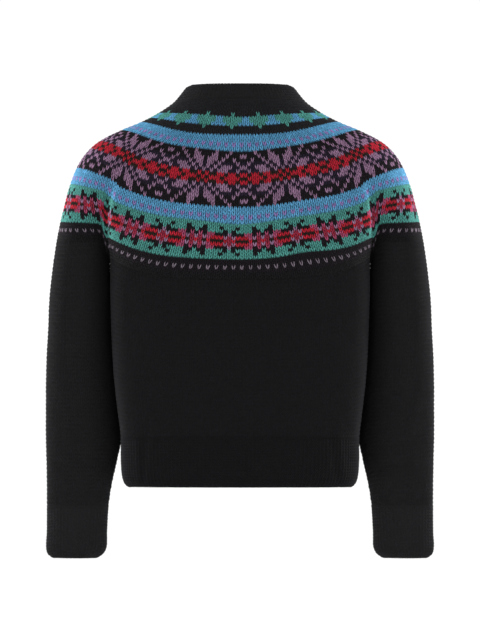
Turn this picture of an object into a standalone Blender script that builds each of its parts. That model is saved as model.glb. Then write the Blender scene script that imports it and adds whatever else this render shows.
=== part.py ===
"""A fair isle cardigan, filled out as it is worn and hollow inside.

Units are metres and +Z is up. The front faces -Y and the wearer's left is +X. The origin
lies between the shoulders, level with the tops of the shoulders at the neck.

The cloth is a wall one knit fabric thick. Its outer face is a smooth surface through
rings. Every ring has the same stations, from centre back round one side to the front
opening. Above the underarm one ring goes round the body and both arms, and a crease at
each armhole deepens as the rings come down. Below it the body and sleeves are tubes.
"""

from math import atan2, cos, pi, radians, sin

import bmesh
import bpy
import numpy as np

# Cloth
WALL = 0.0024  # one layer of chunky knit
SEAM_GAP = 0.0003  # between two knitted pieces that are joined
RIB_RISE = 0.0009  # how far a rib stands proud
POINTS_PER_RIB = 3

# Underarm, where body, sleeve and yoke meet
ARMPIT_X = 0.1865
ARMPIT_Y = -0.015
ARMPIT_HALF_LENGTH = 0.022
ARMPIT_DROP = 0.026  # below the same ring on the outside of the arm
CREASE_HALF_WIDTH = 0.0016
CREASE_ROUND = 0.0028
CREASE_RISES = {1: 0.60, -1: 0.72}  # how far a ring has risen at the crease, back and front
CREASE_RISE_POWER = 4  # most of that rise is near the crease
ARM_DROP_POWER = 9  # on the arm a ring drops only close to the crease
OVAL_RISE_POWERS = (3.5, 1.6)  # the course of a plain oval from its middle to its side

# Cross sections
BODY_HALF_WIDTH = 0.187
BODY_CENTRE_Y = 0.012
BODY_SQUARENESS = 2.6
OVAL_SQUARENESS = 2.3
ARM_HALF_DEPTH = 0.066

# Front opening and its bands
FRONT_EDGE = 0.0143  # from the centre line to the edge of each front
BUTTON_RADIUS = 0.009
BUTTON_THICKNESS = 0.0034
BUTTON_RIM = 0.0016
BUTTON_HOLE_RADIUS = 0.0011
BUTTON_HOLE_OFFSET = 0.0022
BUTTON_SIDES = 16
HOLE_SIDES = 6
BUTTON_COUNT = 7
FIRST_BUTTON = 0.016  # from the top of the band to the first button's middle
LAST_BUTTON = 0.030  # from the last button's middle to the foot of the band

# Ribs round each edge
HEM_RIBS_BACK = 42
HEM_RIBS_FRONT = 20
CUFF_RIBS = 22
NECK_RIBS = 48

# Rings of the neckband and yoke. The levels are at centre back, at the side and at the
# front edge. Each ring goes from 0, a plain oval, to 1, a body and two arms side by side:
# step is how far in its levels, and crease how far in plan.
# name, z_back, z_side, z_front, half_width, y_back, y_front, y_side, step, crease
TOP_RINGS = (
    ("neck top", 0.0415, 0.0400, -0.0180, 0.0675, 0.0685, -0.0745, 0.000, 0.00, 0.00),
    ("neck middle", 0.0300, 0.0280, -0.0300, 0.0805, 0.0755, -0.0805, 0.000, 0.00, 0.00),
    ("neck seam", 0.0175, 0.0145, -0.0420, 0.0940, 0.0830, -0.0870, 0.000, 0.00, 0.00),
    ("first colour", -0.004, -0.0015, -0.0600, 0.1170, 0.0950, -0.0980, 0.000, 0.00, 0.00),
    ("first blue", -0.033, -0.0145, -0.0880, 0.1420, 0.1075, -0.1060, -0.002, 0.00, 0.00),
    ("stars begin", -0.053, -0.0260, -0.1090, 0.1700, 0.1150, -0.1120, -0.004, 0.00, 0.00),
    ("stars above", -0.080, -0.0430, -0.1380, 0.2030, 0.1215, -0.1190, -0.007, 0.00, 0.00),
    ("stars below", -0.108, -0.0610, -0.1670, 0.2220, 0.1250, -0.1250, -0.010, 0.08, 0.02),
    ("second blue", -0.134, -0.0810, -0.1940, 0.2340, 0.1260, -0.1290, -0.012, 0.26, 0.08),
    ("crosses begin", -0.155, -0.1040, -0.2150, 0.2430, 0.1260, -0.1310, -0.014, 0.48, 0.18),
    ("crosses", -0.182, -0.1310, -0.2420, 0.2505, 0.1250, -0.1310, -0.015, 0.70, 0.36),
    ("crosses end", -0.210, -0.1580, -0.2700, 0.2570, 0.1240, -0.1300, -0.015, 0.87, 0.64),
    ("yoke foot", -0.240, -0.1860, -0.3000, 0.2625, 0.1220, -0.1270, -0.015, 1.00, 1.00),
)
NECK_SEAM_RING = 2

# Level cross sections of the body below the yoke.
# z, half_width, y_back, y_front
BODY_SECTIONS = (
    (-0.3400, 0.1826, 0.1155, -0.1210),
    (-0.3800, 0.1800, 0.1120, -0.1175),
    (-0.4200, 0.1756, 0.1090, -0.1145),
    (-0.4640, 0.1704, 0.1065, -0.1120),
    (-0.5000, 0.1700, 0.1050, -0.1100),
    (-0.5200, 0.1683, 0.1038, -0.1088),
    (-0.5305, 0.1650, 0.1018, -0.1068),
    (-0.5355, 0.1598, 0.0985, -0.1035),
)
HEM_SECTION = 3

# Level cross sections of a sleeve.
# z, inner_x, outer_x, middle_y, half_depth
SLEEVE_SECTIONS = (
    (-0.3100, 0.1836, 0.2745, -0.030, 0.0655),
    (-0.3450, 0.1808, 0.2766, -0.036, 0.0620),
    (-0.3850, 0.1770, 0.2778, -0.041, 0.0575),
    (-0.4250, 0.1732, 0.2780, -0.046, 0.0530),
    (-0.4650, 0.1697, 0.2780, -0.050, 0.0485),
    (-0.5000, 0.1765, 0.2772, -0.053, 0.0445),
    (-0.5300, 0.1832, 0.2767, -0.055, 0.0400),
    (-0.5630, 0.1883, 0.2766, -0.057, 0.0350),
    (-0.6000, 0.1905, 0.2768, -0.059, 0.0308),
    (-0.6240, 0.1916, 0.2778, -0.060, 0.0288),
    (-0.6325, 0.1968, 0.2752, -0.0605, 0.0272),
    (-0.6380, 0.2055, 0.2680, -0.061, 0.0245),
)
CUFF_SECTION = 7
BLEND_ROWS = 2  # rows between the yoke's foot and the first level section

# Stations of half a ring, from centre back to the front edge, with the pieces that the
# cloth is cut into from one to the next.
# kind, angle round its own lobe, angle round the plain oval, steps to the next
STATIONS = (
    ("body", 0, 0.0, 2),
    ("body", 18, 11.0, 2),
    ("body", 36, 22.0, 2),
    ("body", 52, 32.0, 2),
    ("body", 66, 40.0, 1),
    ("body", 78, 45.0, 1),
    ("crease body side", 1, 46.7, 1),
    ("crease", 1, 47.5, 1),
    ("crease arm side", 1, 48.3, 1),
    ("arm", 40, 50.5, 1),
    ("arm", 65, 56.0, 1),
    ("arm", 90, 64.0, 1),
    ("arm", 120, 73.0, 1),
    ("arm", 150, 82.0, 1),
    ("arm", 180, 90.0, 1),
    ("arm", 210, 98.0, 1),
    ("arm", 240, 107.0, 1),
    ("arm", 270, 116.0, 1),
    ("arm", 295, 124.0, 1),
    ("arm", 320, 129.5, 1),
    ("crease arm side", -1, 131.7, 1),
    ("crease", -1, 132.5, 1),
    ("crease body side", -1, 133.3, 1),
    ("body", 112, 136.0, 1),
    ("body", 120, 141.0, 2),
    ("body", 130, 149.0, 2),
    ("body", 145, 158.0, 2),
    ("body", 162, 169.0, 2),
    ("front edge", 180, 180.0, 1),
)
# Where the crease's sides and the underarm lie on the body's and the sleeve's sections.
UNDERARM_ANGLES = {1: (90.3, 22.0), 0: (96.8, 0.0), -1: (106.0, 338.0)}
SHORTEST_GAP = 1e-7  # guards a division where two stations meet

# Colours and finishes: colour, roughness
BLACK_WOOL = ((0.012, 0.012, 0.014, 1.0), 0.92)
YOKE_WOOL = ((0.060, 0.130, 0.210, 1.0), 0.92)
BUTTON_HORN = ((0.015, 0.013, 0.012, 1.0), 0.35)


def squircle(angle, squareness):
    """Sideways and backward shares of a point on a squarish oval; 0 is the back."""
    a = radians(angle)
    share = 2 / squareness
    sideways = abs(sin(a)) ** share
    backward = abs(cos(a)) ** share
    return sideways, backward if angle <= 90 else -backward


def oval_point(angle, half_width, y_back, y_front, y_middle, squareness):
    sideways, backward = squircle(angle, squareness)
    depth = y_back - y_middle if backward > 0 else y_middle - y_front
    return np.array((half_width * sideways, y_middle + depth * backward))


def front_edge_point(half_width, y_front, y_middle, squareness):
    """Where an oval's front meets the front opening."""
    rest = 1 - (FRONT_EDGE / half_width) ** squareness
    return np.array((FRONT_EDGE, y_middle - (y_middle - y_front) * rest ** (1 / squareness)))


def arm_point(angle, inner_x, outer_x, y_middle, half_depth):
    """A point round an arm: 0 faces the body, 90 the back, 180 outwards."""
    a = radians(angle)
    middle_x = (inner_x + outer_x) / 2
    half_width = (outer_x - inner_x) / 2
    return np.array((middle_x - half_width * cos(a), y_middle + half_depth * sin(a)))


def crease_point(kind, side):
    """A point in the crease at the armhole, at the back (side 1) or front (side -1)."""
    y = ARMPIT_Y + side * ARMPIT_HALF_LENGTH
    if kind == "crease":
        return np.array((ARMPIT_X, y))
    across = -CREASE_HALF_WIDTH if kind == "crease body side" else CREASE_HALF_WIDTH
    return np.array((ARMPIT_X + across, y + side * CREASE_ROUND))


def oval_station(ring, kind, oval_angle):
    """A station of a ring that is one plain oval round body and arms."""
    _, z_back, z_side, z_front, half_width, y_back, y_front, y_side, _, _ = ring
    if kind == "front edge":
        x, y = front_edge_point(half_width, y_front, y_side, OVAL_SQUARENESS)
    else:
        x, y = oval_point(oval_angle, half_width, y_back, y_front, y_side, OVAL_SQUARENESS)
    share = min(1.0, x / half_width)
    outer_power, inner_power = OVAL_RISE_POWERS
    rise = 1 - (1 - share**outer_power) ** inner_power
    z_middle = z_back if oval_angle <= 90 else z_front
    return np.array((x, y, z_middle + (z_side - z_middle) * rise))


def lobed_station(ring, kind, angle):
    """A station of a ring that goes round the body and each arm, with creases between."""
    _, z_back, z_side, z_front, half_width, y_back, y_front, _, step, _ = ring
    drop = ARMPIT_DROP * step
    if kind == "arm":
        x, y = arm_point(angle, ARMPIT_X, half_width, ARMPIT_Y, ARM_HALF_DEPTH)
        inward = max(0.0, cos(radians(angle)))
        return np.array((x, y, z_side - drop * inward**ARM_DROP_POWER))
    if kind.startswith("crease"):
        x, y = crease_point(kind, angle)
        return np.array((x, y, z_side - drop))
    if kind == "front edge":
        x, y = front_edge_point(BODY_HALF_WIDTH, y_front, BODY_CENTRE_Y, BODY_SQUARENESS)
    else:
        x, y = oval_point(
            angle, BODY_HALF_WIDTH, y_back, y_front, BODY_CENTRE_Y, BODY_SQUARENESS
        )
    z_middle, side = (z_back, 1) if angle <= 90 else (z_front, -1)
    rise = CREASE_RISES[side] * (x / BODY_HALF_WIDTH) ** CREASE_RISE_POWER
    return np.array((x, y, z_middle + (z_side - z_middle) * rise))


def top_ring(ring):
    """Half a ring of the neckband or yoke, from centre back to the front edge."""
    step, crease = ring[-2:]
    points = []
    for kind, angle, oval_angle, _ in STATIONS:
        oval = oval_station(ring, kind, oval_angle)
        lobed = lobed_station(ring, kind, angle)
        points.append(oval + (lobed - oval) * (crease, crease, step))
    return np.array(points)


def mirrored(half):
    """A whole ring from half of one: left half, then the right half back to the start."""
    return np.concatenate([half, half[::-1][:-1] * (-1, 1, 1)])


def hermite(points, closed):
    """Knots and tangents of a smooth curve through points, with even pace by distance."""
    if closed:
        points = np.concatenate([points[-1:], points, points[:2]])
    gaps = np.sqrt(np.maximum(np.linalg.norm(np.diff(points, axis=0), axis=1), SHORTEST_GAP))
    slopes = np.diff(points, axis=0) / gaps[:, None]
    before, after = gaps[:-1, None], gaps[1:, None]
    inner = (slopes[:-1] * after + slopes[1:] * before) / (before + after)
    if closed:
        return points[1:-1], gaps[1:-1], inner
    tangents = np.concatenate([slopes[:1], inner, slopes[-1:]])
    return points, gaps, tangents


def smooth(points, steps, closed=False):
    """Points along a smooth curve through the given ones, steps[i] of them after each."""
    points, gaps, tangents = hermite(np.asarray(points, float), closed)
    made = []
    for i, count in enumerate(steps):
        for k in range(count):
            t = k / count
            a = 2 * t**3 - 3 * t**2 + 1
            b = t**3 - 2 * t**2 + t
            c = -2 * t**3 + 3 * t**2
            d = t**3 - t**2
            made.append(
                a * points[i]
                + b * gaps[i] * tangents[i]
                + c * points[i + 1]
                + d * gaps[i] * tangents[i + 1]
            )
    if not closed:
        made.append(points[-1])
    return np.array(made)


def facing(grid):
    """Outward directions at a grid's points; its rows go down and its columns all round."""
    down = np.gradient(grid, axis=0)
    round_it = np.roll(grid, -1, axis=1) - np.roll(grid, 1, axis=1)
    out = np.cross(round_it, down)
    return out / np.linalg.norm(out, axis=2, keepdims=True)


HALF_STEPS = [station[3] for station in STATIONS[:-1]]
RING_STEPS = HALF_STEPS + [2] + HALF_STEPS[::-1]  # the 2 is across the front opening
BODY_KINDS = ("body", "crease body side", "front edge")


def station_numbers(kinds):
    return [i for i, station in enumerate(STATIONS) if station[0] in kinds]


def body_angle(station):
    kind, angle = station[:2]
    return UNDERARM_ANGLES[angle][0] if kind == "crease body side" else angle


def body_section_point(angle, z):
    """A point of the body's level cross section at height z, eased from the underarm."""
    levels = [-section[0] for section in BODY_SECTIONS]
    foot = TOP_RINGS[-1]
    top_level = ARMPIT_DROP - foot[2]
    heights = [top_level, *levels]
    sizes = [(BODY_HALF_WIDTH, foot[5], foot[6]), *(s[1:] for s in BODY_SECTIONS)]
    half_width, y_back, y_front = (
        np.interp(-z, heights, [size[k] for size in sizes]) for k in range(3)
    )
    if angle == 180:
        return front_edge_point(half_width, y_front, BODY_CENTRE_Y, BODY_SQUARENESS)
    return oval_point(angle, half_width, y_back, y_front, BODY_CENTRE_Y, BODY_SQUARENESS)


def underarm_middle(side):
    """The middle of the underarm seam, on the body's side (-1) or the sleeve's (1)."""
    foot = TOP_RINGS[-1]
    return np.array((ARMPIT_X + side * SEAM_GAP / 2, ARMPIT_Y, foot[2] - ARMPIT_DROP))


def body_rings():
    """Half rings of the body: one of the yoke, the yoke's foot, then down to the hem."""
    numbers = station_numbers(BODY_KINDS)
    stations = [STATIONS[i] for i in numbers]
    split = next(i for i, s in enumerate(stations) if s[:2] == ("crease body side", -1))
    angles = [body_angle(s) for s in stations]
    angles.insert(split, UNDERARM_ANGLES[0][0])
    middle = underarm_middle(-1)
    rings = []
    for ring in TOP_RINGS[-2:]:
        points = top_ring(ring)[numbers]
        rings.append(np.insert(points, split, middle, axis=0))
    rings[0][split, 2] += TOP_RINGS[-2][2] - TOP_RINGS[-1][2]
    foot = rings[1]
    first = BODY_SECTIONS[0][0]
    for row in range(1, BLEND_ROWS + 1):
        share = row / (BLEND_ROWS + 1)
        z = foot[:, 2] + (first - foot[:, 2]) * share
        level = np.array([body_section_point(a, height) for a, height in zip(angles, z)])
        near = (1 - share) ** 2
        flat = foot[:, :2] * near + level * (1 - near)
        rings.append(np.column_stack([flat, z]))
    for section in BODY_SECTIONS:
        z = section[0]
        rings.append(np.array([(*body_section_point(a, z), z) for a in angles]))
    return np.array(rings), split


def sleeve_rings():
    """Closed rings of the left sleeve, from one of the yoke down to the cuff's edge."""
    numbers = station_numbers(("crease arm side", "arm"))
    angles = [0.0]
    for i in numbers:
        kind, angle = STATIONS[i][:2]
        angles.append(UNDERARM_ANGLES[angle][1] if kind.startswith("crease") else angle)
    middle = underarm_middle(1)
    rings = []
    for ring in TOP_RINGS[-2:]:
        points = top_ring(ring)[numbers]
        rings.append(np.insert(points, 0, middle, axis=0))
    rings[0][0, 2] += TOP_RINGS[-2][2] - TOP_RINGS[-1][2]
    foot = rings[1]
    first = SLEEVE_SECTIONS[0]
    for row in range(1, BLEND_ROWS + 1):
        share = row / (BLEND_ROWS + 1)
        z = foot[:, 2] + (first[0] - foot[:, 2]) * share
        level = np.array([arm_point(a, *first[1:]) for a in angles])
        outward = (1 - np.cos(np.radians(angles)))[:, None] / 2
        eased = share + (sin(pi / 2 * share) - share) * outward
        flat = foot[:, :2] + (level - foot[:, :2]) * eased
        rings.append(np.column_stack([flat, z]))
    for section in SLEEVE_SECTIONS:
        rings.append(np.array([(*arm_point(a, *section[1:]), section[0]) for a in angles]))
    return np.array(rings)


def evenly(grid, count, closed):
    """The grid with `count` columns, evenly spaced round each row."""
    if closed:
        grid = np.concatenate([grid, grid[:, :1]], axis=1)
    made = []
    for row in grid:
        gaps = np.linalg.norm(np.diff(row[:, :3], axis=0), axis=1)
        along = np.concatenate([[0], np.cumsum(gaps)])
        wanted = np.linspace(0, along[-1], count + 1)
        if closed:
            wanted = wanted[:-1]
        made.append(np.stack([np.interp(wanted, along, c) for c in row.T], axis=1))
    return np.array(made)


def pulled_in(grid, rows=(1, 1), columns=(0, 0)):
    """The grid with its edges moved in by half a seam gap, where rows or columns say 1."""
    grid = grid.copy()
    ends = ((0, 1), (-1, -2))
    for (edge, next_in), wanted in zip(ends, rows):
        step = grid[next_in, :, :3] - grid[edge, :, :3]
        step /= np.linalg.norm(step, axis=1, keepdims=True)
        grid[edge, :, :3] += step * (wanted * SEAM_GAP / 2)
    for (edge, next_in), wanted in zip(ends, columns):
        step = grid[:, next_in, :3] - grid[:, edge, :3]
        step /= np.linalg.norm(step, axis=1, keepdims=True)
        grid[:, edge, :3] += step * (wanted * SEAM_GAP / 2)
    return grid


def wall_faces(rows, outer_count, inner_count, closed):
    """Faces of a wall between an outer and an inner grid of points."""
    ratio = (outer_count if closed else outer_count - 1) // (
        inner_count if closed else inner_count - 1
    )
    start = rows * outer_count
    faces = []

    def outer(row, column):
        return row * outer_count + column % outer_count

    def inner(row, column):
        return start + row * inner_count + column % inner_count

    outer_pieces = outer_count if closed else outer_count - 1
    inner_pieces = inner_count if closed else inner_count - 1
    for row in range(rows - 1):
        for c in range(outer_pieces):
            faces.append(
                (outer(row, c), outer(row, c + 1), outer(row + 1, c + 1), outer(row + 1, c))
            )
        for c in range(inner_pieces):
            faces.append(
                (inner(row, c), inner(row + 1, c), inner(row + 1, c + 1), inner(row, c + 1))
            )
    half = ratio // 2
    for row in (0, rows - 1):
        for c in range(inner_pieces):
            first = c * ratio
            for k in range(ratio):
                tip = inner(row, c) if k <= half else inner(row, c + 1)
                faces.append((outer(row, first + k), outer(row, first + k + 1), tip))
                if k == half:
                    faces.append((outer(row, first + k + 1), inner(row, c + 1), tip))
    if not closed:
        for row in range(rows - 1):
            for o, i in ((0, 0), (outer_count - 1, inner_count - 1)):
                faces.append(
                    (outer(row, o), outer(row + 1, o), inner(row + 1, i), inner(row, i))
                )
    return faces


def material(name, finish):
    made = bpy.data.materials.get(name)
    if made:
        return made
    made = bpy.data.materials.new(name)
    made.use_nodes = True
    shader = made.node_tree.nodes["Principled BSDF"]
    shader.inputs["Base Color"].default_value = finish[0]
    shader.inputs["Roughness"].default_value = finish[1]
    shader.inputs["Metallic"].default_value = 0.0
    return made


def add_mesh(name, points, faces, finish_name, finish):
    """A new object from points and faces, closed and facing outwards."""
    mesh = bpy.data.meshes.new(name)
    mesh.from_pydata([tuple(p) for p in points], [], faces)
    shape = bmesh.new()
    shape.from_mesh(mesh)
    bmesh.ops.recalc_face_normals(shape, faces=shape.faces)
    shape.to_mesh(mesh)
    shape.free()
    mesh.shade_smooth()
    mesh.set_sharp_from_angle(angle=radians(50))
    mesh.materials.append(material(finish_name, finish))
    made = bpy.data.objects.new(name, mesh)
    bpy.context.scene.collection.objects.link(made)
    return made


def add_wall(name, surface, finish_name, finish, closed=False, top=0.0, thick=WALL):
    """A cloth wall whose outer face is the surface, raised by top. The surface's last
    three numbers at each point say which way is out."""
    out = surface[..., 3:]
    outer = surface[..., :3] + out * top
    inner = outer - out * thick
    rows, count = outer.shape[:2]
    points = np.concatenate([outer.reshape(-1, 3), inner.reshape(-1, 3)])
    faces = wall_faces(rows, count, count, closed)
    return add_mesh(name, points, faces, finish_name, finish)


def add_rib(name, surface, ribs, finish_name, finish, rows, columns=(0, 0), closed=False):
    """A rib band: ribs raised in the outer face, over a plain inside."""
    outer = evenly(surface, ribs * POINTS_PER_RIB, closed)
    inner = evenly(surface, ribs, closed)
    outer = pulled_in(outer, rows, columns)
    inner = pulled_in(inner, rows, columns)
    rise = np.zeros(outer.shape[1])
    rise[1::POINTS_PER_RIB] = RIB_RISE
    rise[2::POINTS_PER_RIB] = RIB_RISE
    outer_points = outer[..., :3] + outer[..., 3:] * rise[None, :, None]
    inner_points = inner[..., :3] - inner[..., 3:] * WALL
    points = np.concatenate([outer_points.reshape(-1, 3), inner_points.reshape(-1, 3)])
    faces = wall_faces(len(outer), outer.shape[1], inner.shape[1], closed)
    return add_mesh(name, points, faces, finish_name, finish)


def flipped(surface, closed=False):
    """The same surface on the wearer's right. Columns keep running the same way round."""
    other = surface[:, ::-1] * (-1, 1, 1, -1, 1, 1)
    return np.roll(other, 1, axis=1) if closed else other


def top_surface():
    """The neckband and yoke: points and outward directions, open at the front. A row
    of the body and sleeves below takes part, so that the cloth runs on smoothly."""
    rings = [mirrored(top_ring(ring)) for ring in TOP_RINGS]
    body, underarm = body_rings()
    body_below = np.delete(body[2], underarm, axis=0)
    sleeve = sleeve_rings()[2]
    ghost = top_ring(TOP_RINGS[-1])
    for place, i in enumerate(station_numbers(BODY_KINDS)):
        ghost[i] = body_below[place]
    for place, i in enumerate(station_numbers(("crease arm side", "arm"))):
        ghost[i] = sleeve[place + 1]
    for i in station_numbers(("crease",)):
        ghost[i] = (ghost[i - 1] + ghost[i + 1]) / 2
    rings.append(mirrored(ghost))
    grid = np.array([smooth(ring, RING_STEPS, closed=True) for ring in rings])
    return np.concatenate([grid, facing(grid)], axis=2)[:-1]


def body_surface(top):
    """The body and hem, all round, sharing the yoke's directions at its foot."""
    half_rings, split = body_rings()
    numbers = station_numbers(BODY_KINDS)
    steps = [STATIONS[i][3] for i in numbers[:-1]]
    steps.insert(split, 1)
    ring_steps = steps + [2] + steps[::-1]
    rings = [mirrored(half) for half in half_rings]
    grid = np.array([smooth(ring, ring_steps, closed=True) for ring in rings])
    surface = np.concatenate([grid, facing(grid)], axis=2)[1:]
    back = sum(steps[:split])  # columns from centre back to the middle of the underarm
    front = sum(steps) - back - 1
    surface[0, :back] = top[-1, :back]
    surface[0, -back + 1 :] = top[-1, -back + 1 :]
    half_top = sum(HALF_STEPS)
    half_body = sum(steps)
    shared = top[-1, half_top - front : half_top + front + 3]
    surface[0, half_body - front : half_body + front + 3] = shared
    return surface, back


def sleeve_surface(top):
    """The left sleeve and cuff, all round from the underarm's middle."""
    rings = sleeve_rings()
    stations = rings.shape[1]
    steps = [1] * stations
    grid = np.array([smooth(ring, steps, closed=True) for ring in rings])
    surface = np.concatenate([grid, facing(grid)], axis=2)[1:]
    first = next(i for i, s in enumerate(STATIONS) if s[0] == "crease arm side")
    start = sum(HALF_STEPS[:first])
    surface[0, 1:] = top[-1, start : start + stations - 1]
    return surface


def whole(ring_surface, start, stop):
    """Columns from start up to and with stop, which may pass the ring's own start."""
    count = ring_surface.shape[1]
    wanted = [i % count for i in range(start, stop + 1)]
    return ring_surface[:, wanted]


def build_yoke_and_neckband(top):
    half = sum(HALF_STEPS)
    count = top.shape[1]
    # Round from the right front edge, over the back, to the left front edge.
    opened = whole(top, half + 2, count + half)
    yoke = pulled_in(opened[NECK_SEAM_RING:], (1, 1), (1, 1))
    add_wall("yoke", yoke, "yoke wool", YOKE_WOOL)
    neck = opened[: NECK_SEAM_RING + 1]
    add_rib("neckband", neck, NECK_RIBS, "black wool", BLACK_WOOL, (0, 1), (1, 1))


def build_body(body, middle):
    count = body.shape[1]
    half = (count - 2) // 2
    hem = BLEND_ROWS + 1 + HEM_SECTION
    pieces = {
        "back": (count - middle, count + middle),
        "front_left": (middle, half),
        "front_right": (half + 2, count - middle),
    }
    for name, (start, stop) in pieces.items():
        panel = whole(body, start, stop)
        cloth = pulled_in(panel[: hem + 1], (1, 1), (1, 1))
        add_wall(name, cloth, "black wool", BLACK_WOOL)
        ribs = HEM_RIBS_BACK if name == "back" else HEM_RIBS_FRONT
        add_rib("hem_" + name, panel[hem:], ribs, "black wool", BLACK_WOOL, (1, 0), (1, 1))


def build_sleeves(sleeve):
    cuff = BLEND_ROWS + 1 + CUFF_SECTION
    for side, surface in (("left", sleeve), ("right", flipped(sleeve, closed=True))):
        arm = pulled_in(surface[: cuff + 1], (1, 1))
        add_wall("sleeve_" + side, arm, "black wool", BLACK_WOOL, closed=True)
        rib = surface[cuff:]
        add_rib(
            "cuff_" + side, rib, CUFF_RIBS, "black wool", BLACK_WOOL, (1, 0), closed=True
        )


def opening_strip(top, body):
    """The strip across the front opening, from the neckband's top to the hem."""
    half_top = sum(HALF_STEPS)
    half_body = (body.shape[1] - 2) // 2
    above = top[:, half_top : half_top + 3]
    below = body[:, half_body : half_body + 3]
    return np.concatenate([above, below[1:]])


def build_bands(strip):
    """The two rib bands of the front: one lies on the other, and each meets its front."""
    middle = (SEAM_GAP - WALL) / 2
    over = pulled_in(strip, (0, 0), (1, 1))
    add_wall("buttonhole_band", over, "black wool", BLACK_WOOL, top=middle + WALL)
    add_wall("button_band", over, "black wool", BLACK_WOOL, top=middle - SEAM_GAP)
    return middle + WALL


def button_mesh():
    """A sew-through button: a turned disc with a raised rim and four holes."""
    inner_radius = BUTTON_RADIUS - 2 * BUTTON_RIM
    dish = BUTTON_THICKNESS * 0.72
    profile = (
        (0.78 * BUTTON_RADIUS, 0.0),
        (BUTTON_RADIUS, 0.35 * BUTTON_THICKNESS),
        (BUTTON_RADIUS - 0.3 * BUTTON_RIM, 0.85 * BUTTON_THICKNESS),
        (BUTTON_RADIUS - BUTTON_RIM, BUTTON_THICKNESS),
        (inner_radius, dish),
    )
    shape = bmesh.new()
    loops = []
    for radius, height in profile:
        loop = []
        for k in range(BUTTON_SIDES):
            a = 2 * pi * k / BUTTON_SIDES
            loop.append(shape.verts.new((radius * cos(a), radius * sin(a), height)))
        loops.append(loop)
    for low, high in zip(loops, loops[1:]):
        for k in range(BUTTON_SIDES):
            n = (k + 1) % BUTTON_SIDES
            shape.faces.new((low[k], low[n], high[n], high[k]))
    shape.faces.new(loops[0][::-1])
    shape.faces.new(loops[-1])
    mesh = bpy.data.meshes.new("button")
    shape.to_mesh(mesh)
    shape.free()
    return mesh


def hole_cutter(name):
    """Four upright pins that cut a button's sewing holes."""
    shape = bmesh.new()
    for across, along in ((1, 1), (1, -1), (-1, 1), (-1, -1)):
        pin = bmesh.ops.create_cone(
            shape,
            cap_ends=True,
            segments=HOLE_SIDES,
            radius1=BUTTON_HOLE_RADIUS,
            radius2=BUTTON_HOLE_RADIUS,
            depth=4 * BUTTON_THICKNESS,
        )
        move = (across * BUTTON_HOLE_OFFSET, along * BUTTON_HOLE_OFFSET, 0)
        bmesh.ops.translate(shape, verts=pin["verts"], vec=move)
    mesh = bpy.data.meshes.new(name)
    shape.to_mesh(mesh)
    shape.free()
    return mesh


def build_buttons(strip, band_top):
    """Buttons down the middle of the upper band, each square to the cloth under it."""
    centre = strip[:, 1]
    gaps = np.linalg.norm(np.diff(centre[:, :3], axis=0), axis=1)
    along = np.concatenate([[0], np.cumsum(gaps)])
    places = np.linspace(FIRST_BUTTON, along[-1] - LAST_BUTTON, BUTTON_COUNT)
    disc = button_mesh()
    pins = hole_cutter("button_holes")
    for number, place in enumerate(places, 1):
        point = np.array([np.interp(place, along, c) for c in centre.T])
        out = point[3:] / np.linalg.norm(point[3:])
        base = point[:3] + out * band_top
        reach = np.abs(along - place) < 2.5 * BUTTON_RADIUS
        near = strip[reach][..., :3] + strip[reach][..., 3:] * band_top
        offsets = near.reshape(-1, 3) - base
        heights = offsets @ out
        apart = np.linalg.norm(offsets, axis=1)
        lift = max(0.0, float(np.max(heights * np.minimum(1, BUTTON_RADIUS / apart))))
        base = base + out * (lift + SEAM_GAP)
        tilt = atan2(out[2], -out[1])
        made = bpy.data.objects.new(f"button_{number}", disc.copy())
        made.data.materials.append(material("button", BUTTON_HORN))
        bpy.context.scene.collection.objects.link(made)
        made.location = base
        made.rotation_euler = (pi / 2 - tilt, 0, 0)
        cutter = bpy.data.objects.new(f"button_holes_{number}", pins)
        bpy.context.scene.collection.objects.link(cutter)
        cutter.location = base
        cutter.rotation_euler = made.rotation_euler
        cutter.hide_render = True
        cutter.display_type = "WIRE"
        cut = made.modifiers.new("sewing holes", "BOOLEAN")
        cut.operation = "DIFFERENCE"
        cut.solver = "EXACT"
        cut.object = cutter


def build():
    for old in list(bpy.data.objects):
        bpy.data.objects.remove(old, do_unlink=True)
    top = top_surface()
    body, middle = body_surface(top)
    sleeve = sleeve_surface(top)
    build_yoke_and_neckband(top)
    build_body(body, middle)
    build_sleeves(sleeve)
    strip = opening_strip(top, body)
    band_top = build_bands(strip)
    build_buttons(strip, band_top)


build()
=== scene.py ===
from math import cos, pi, radians, sin

import bpy
import numpy as np
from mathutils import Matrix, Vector


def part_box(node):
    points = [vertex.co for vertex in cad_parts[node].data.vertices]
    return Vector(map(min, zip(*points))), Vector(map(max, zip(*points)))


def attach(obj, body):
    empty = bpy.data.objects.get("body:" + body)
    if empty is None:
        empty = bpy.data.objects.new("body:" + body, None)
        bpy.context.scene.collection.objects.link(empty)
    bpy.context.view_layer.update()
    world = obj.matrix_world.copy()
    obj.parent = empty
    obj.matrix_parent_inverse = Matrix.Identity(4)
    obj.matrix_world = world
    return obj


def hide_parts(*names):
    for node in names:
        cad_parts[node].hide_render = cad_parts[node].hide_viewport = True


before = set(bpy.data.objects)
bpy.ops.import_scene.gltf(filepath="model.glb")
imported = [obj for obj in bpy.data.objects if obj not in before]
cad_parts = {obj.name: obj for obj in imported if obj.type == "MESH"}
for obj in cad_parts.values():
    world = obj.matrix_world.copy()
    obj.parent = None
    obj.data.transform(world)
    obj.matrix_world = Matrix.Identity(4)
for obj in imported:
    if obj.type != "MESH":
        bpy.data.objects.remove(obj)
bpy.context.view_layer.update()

# Back and two fronts: plain knit in black wool, from the hem up to the yoke, parted at
# the sides and at the front opening. The cloth is a thin layer on the form of the CAD
# walls, with soft creases, and each stitch on its face is a V of two strands of yarn.
ARMPIT_X = 0.1865
ARMPIT_Y = -0.015
ARMPIT_HALF_LENGTH = 0.022
ARMPIT_DROP = 0.026
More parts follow.
